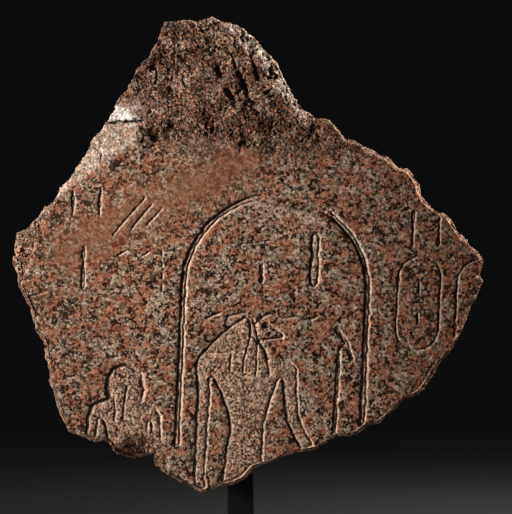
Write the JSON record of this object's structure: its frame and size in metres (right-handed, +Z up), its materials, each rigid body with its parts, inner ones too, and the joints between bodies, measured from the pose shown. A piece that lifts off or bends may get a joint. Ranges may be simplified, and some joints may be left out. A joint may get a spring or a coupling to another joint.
{
  "type": "granite relief fragment on a display mount",
  "caption": "Broken granite slab carved in sunk relief with a ram-headed god in a round-topped shrine and a worshipper, held upright by a flat steel post on a foot plate.",
  "frame": {"origin": "on the floor, under the middle of the whole part's width and depth", "axes": "+Z up, +X to the right of a viewer facing the carving, the carved face looks along -Y"},
  "size_m": [0.5418, 0.2, 0.6561],
  "materials": {
    "granite": "coarse pink, grey and black granite, dressed face worn smooth, breaks rough",
    "mount_steel": "satin black paint over steel"
  },
  "bodies": {
    "root": {"granite_fragment": "granite", "mount_foot_plate": "mount_steel", "mount_post": "mount_steel"}
  },
  "joints": []
}
